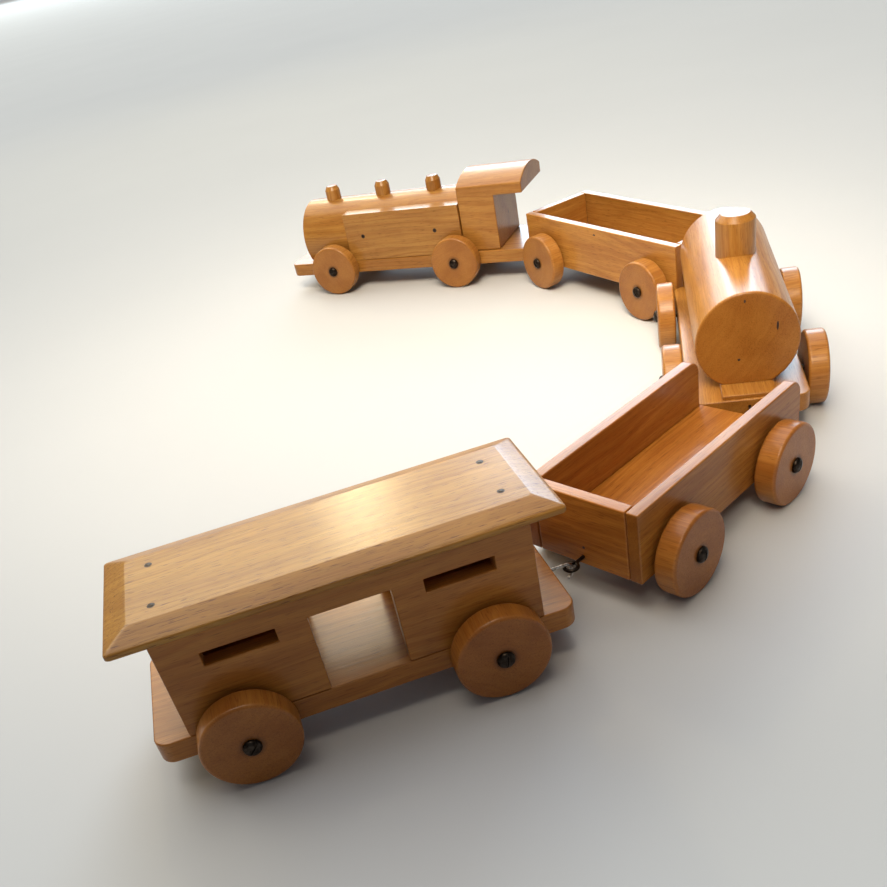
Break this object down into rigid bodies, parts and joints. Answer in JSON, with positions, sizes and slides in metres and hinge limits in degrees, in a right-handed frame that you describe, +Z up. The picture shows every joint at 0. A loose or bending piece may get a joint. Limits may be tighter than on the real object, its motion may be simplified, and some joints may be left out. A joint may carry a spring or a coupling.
{
  "type": "wooden train set",
  "caption": "Varnished beech toy train in a curve: steam locomotive, gondola, tank wagon, open-ended wagon and box car on round wooden wheels, joined by steel hooks and eyes.",
  "frame": {"origin": "on the floor under the middle of the whole train's bounding box", "axes": "+Z up; Y is the long way of the laid-out curve, with the locomotive at the +Y end heading towards -X, and the box car at the -Y end facing +X; +X is the outside of the curve, where the tank wagon stands"},
  "size_m": [0.4904, 0.806, 0.1196],
  "materials": {
    "beech": "glossy honey-coloured varnish over fine straight grain",
    "wheel_beech": "glossy varnish over end grain, a little darker",
    "steel": "browned steel screws, brighter wire"
  },
  "bodies": {
    "locomotive": {"loco_base": "beech", "loco_boiler": "beech", "loco_side_tank_left": "beech", "loco_side_tank_right": "beech", "loco_cab": "beech", "loco_eye": "steel", "loco_axle_front": "steel", "loco_axle_rear": "steel"},
    "gondola_wagon": {"gondola_floor": "beech", "gondola_side_left": "beech", "gondola_side_right": "beech", "gondola_end_front": "beech", "gondola_end_rear": "beech", "gondola_hook": "steel", "gondola_eye": "steel", "gondola_axle_front": "steel", "gondola_axle_rear": "steel"},
    "tank_wagon": {"tanker_base": "beech", "tanker_barrel": "beech", "tanker_hook": "steel", "tanker_eye": "steel", "tanker_axle_front": "steel", "tanker_axle_rear": "steel"},
    "open_wagon": {"open_floor": "beech", "open_side_left": "beech", "open_side_right": "beech", "open_end_rear": "beech", "open_hook": "steel", "open_eye": "steel", "open_axle_front": "steel", "open_axle_rear": "steel"},
    "box_wagon": {"box_car_base": "beech", "box_car_side_left": "beech", "box_car_side_right": "beech", "box_car_end_front": "beech", "box_car_end_rear": "beech", "box_car_roof": "beech", "box_car_hook": "steel", "box_car_axle_front": "steel", "box_car_axle_rear": "steel"},
    "loco_wheel_front_left": {"loco_wheel_front_left": "wheel_beech"},
    "loco_wheel_front_right": {"loco_wheel_front_right": "wheel_beech"},
    "loco_wheel_rear_left": {"loco_wheel_rear_left": "wheel_beech"},
    "loco_wheel_rear_right": {"loco_wheel_rear_right": "wheel_beech"},
    "gondola_wheel_front_left": {"gondola_wheel_front_left": "wheel_beech"},
    "gondola_wheel_front_right": {"gondola_wheel_front_right": "wheel_beech"},
    "gondola_wheel_rear_left": {"gondola_wheel_rear_left": "wheel_beech"},
    "gondola_wheel_rear_right": {"gondola_wheel_rear_right": "wheel_beech"},
    "tanker_wheel_front_left": {"tanker_wheel_front_left": "wheel_beech"},
    "tanker_wheel_front_right": {"tanker_wheel_front_right": "wheel_beech"},
    "tanker_wheel_rear_left": {"tanker_wheel_rear_left": "wheel_beech"},
    "tanker_wheel_rear_right": {"tanker_wheel_rear_right": "wheel_beech"},
    "open_wheel_front_left": {"open_wheel_front_left": "wheel_beech"},
    "open_wheel_front_right": {"open_wheel_front_right": "wheel_beech"},
    "open_wheel_rear_left": {"open_wheel_rear_left": "wheel_beech"},
    "open_wheel_rear_right": {"open_wheel_rear_right": "wheel_beech"},
    "box_car_wheel_front_left": {"box_car_wheel_front_left": "wheel_beech"},
    "box_car_wheel_front_right": {"box_car_wheel_front_right": "wheel_beech"},
    "box_car_wheel_rear_left": {"box_car_wheel_rear_left": "wheel_beech"},
    "box_car_wheel_rear_right": {"box_car_wheel_rear_right": "wheel_beech"}
  },
  "joints": [
    {"name": "gondola_coupling", "type": "hinge", "parent": "locomotive", "child": "gondola_wagon", "pos_m": [0.10815, 0.23798, 0.025], "axis": [0, 0, 1], "range_deg": [-2.4, 77.6]},
    {"name": "tanker_coupling", "type": "hinge", "parent": "gondola_wagon", "child": "tank_wagon", "pos_m": [0.2042, 0.0301, 0.025], "axis": [0, 0, 1], "range_deg": [-1.2, 82.8]},
    {"name": "open_coupling", "type": "hinge", "parent": "tank_wagon", "child": "open_wagon", "pos_m": [0.13808, -0.20051, 0.025], "axis": [0, 0, 1], "range_deg": [-2, 73.6]},
    {"name": "box_car_coupling", "type": "hinge", "parent": "open_wagon", "child": "box_wagon", "pos_m": [-0.01045, -0.31739, 0.025], "axis": [0, 0, 1], "range_deg": [-8, 66.4]},
    {"name": "loco_wheel_front_left_spin", "type": "hinge", "parent": "locomotive", "child": "loco_wheel_front_left", "pos_m": [-0.11789, 0.30334, 0.025], "axis": [-0.4633, -0.8862, 0], "continuous": true},
    {"name": "loco_wheel_front_right_spin", "type": "hinge", "parent": "locomotive", "child": "loco_wheel_front_right", "pos_m": [-0.07453, 0.38629, 0.025], "axis": [-0.4633, -0.8862, 0], "continuous": true},
    {"name": "loco_wheel_rear_left_spin", "type": "hinge", "parent": "locomotive", "child": "loco_wheel_rear_left", "pos_m": [0.00564, 0.23876, 0.025], "axis": [-0.4633, -0.8862, 0], "continuous": true},
    {"name": "loco_wheel_rear_right_spin", "type": "hinge", "parent": "locomotive", "child": "loco_wheel_rear_right", "pos_m": [0.04901, 0.32171, 0.025], "axis": [-0.4633, -0.8862, 0], "continuous": true},
    {"name": "gondola_wheel_front_left_spin", "type": "hinge", "parent": "gondola_wagon", "child": "gondola_wheel_front_left", "pos_m": [0.08395, 0.17877, 0.025], "axis": [-0.9078, -0.4195, 0], "continuous": true},
    {"name": "gondola_wheel_front_right_spin", "type": "hinge", "parent": "gondola_wagon", "child": "gondola_wheel_front_right", "pos_m": [0.16892, 0.21803, 0.025], "axis": [-0.9078, -0.4195, 0], "continuous": true},
    {"name": "gondola_wheel_rear_left_spin", "type": "hinge", "parent": "gondola_wagon", "child": "gondola_wheel_rear_left", "pos_m": [0.14385, 0.04914, 0.025], "axis": [-0.9078, -0.4195, 0], "continuous": true},
    {"name": "gondola_wheel_rear_right_spin", "type": "hinge", "parent": "gondola_wagon", "child": "gondola_wheel_rear_right", "pos_m": [0.22882, 0.0884, 0.025], "axis": [-0.9078, -0.4195, 0], "continuous": true},
    {"name": "tanker_wheel_front_left_spin", "type": "hinge", "parent": "tank_wagon", "child": "tanker_wheel_front_left", "pos_m": [0.14237, -0.01574, 0.025], "axis": [-0.9613, 0.2756, 0], "continuous": true},
    {"name": "tanker_wheel_front_right_spin", "type": "hinge", "parent": "tank_wagon", "child": "tanker_wheel_front_right", "pos_m": [0.23235, -0.04154, 0.025], "axis": [-0.9613, 0.2756, 0], "continuous": true},
    {"name": "tanker_wheel_rear_left_spin", "type": "hinge", "parent": "tank_wagon", "child": "tanker_wheel_rear_left", "pos_m": [0.10963, -0.12993, 0.025], "axis": [-0.9613, 0.2756, 0], "continuous": true},
    {"name": "tanker_wheel_rear_right_spin", "type": "hinge", "parent": "tank_wagon", "child": "tanker_wheel_rear_right", "pos_m": [0.1996, -0.15573, 0.025], "axis": [-0.9613, 0.2756, 0], "continuous": true},
    {"name": "open_wheel_front_left_spin", "type": "hinge", "parent": "open_wagon", "child": "open_wheel_front_left", "pos_m": [0.07432, -0.19113, 0.025], "axis": [-0.6184, 0.7859, 0], "continuous": true},
    {"name": "open_wheel_front_right_spin", "type": "hinge", "parent": "open_wagon", "child": "open_wheel_front_right", "pos_m": [0.1322, -0.26468, 0.025], "axis": [-0.6184, 0.7859, 0], "continuous": true},
    {"name": "open_wheel_rear_left_spin", "type": "hinge", "parent": "open_wagon", "child": "open_wheel_rear_left", "pos_m": [-0.00536, -0.25383, 0.025], "axis": [-0.6184, 0.7859, 0], "continuous": true},
    {"name": "open_wheel_rear_right_spin", "type": "hinge", "parent": "open_wagon", "child": "open_wheel_rear_right", "pos_m": [0.05252, -0.32739, 0.025], "axis": [-0.6184, 0.7859, 0], "continuous": true},
    {"name": "box_car_wheel_front_left_spin", "type": "hinge", "parent": "box_wagon", "child": "box_car_wheel_front_left", "pos_m": [-0.07427, -0.28011, 0.025], "axis": [-0.1564, 0.9877, 0], "continuous": true},
    {"name": "box_car_wheel_front_right_spin", "type": "hinge", "parent": "box_wagon", "child": "box_car_wheel_front_right", "pos_m": [-0.05963, -0.37256, 0.025], "axis": [-0.1564, 0.9877, 0], "continuous": true},
    {"name": "box_car_wheel_rear_left_spin", "type": "hinge", "parent": "box_wagon", "child": "box_car_wheel_rear_left", "pos_m": [-0.20128, -0.30023, 0.025], "axis": [-0.1564, 0.9877, 0], "continuous": true},
    {"name": "box_car_wheel_rear_right_spin", "type": "hinge", "parent": "box_wagon", "child": "box_car_wheel_rear_right", "pos_m": [-0.18664, -0.39268, 0.025], "axis": [-0.1564, 0.9877, 0], "continuous": true}
  ]
}
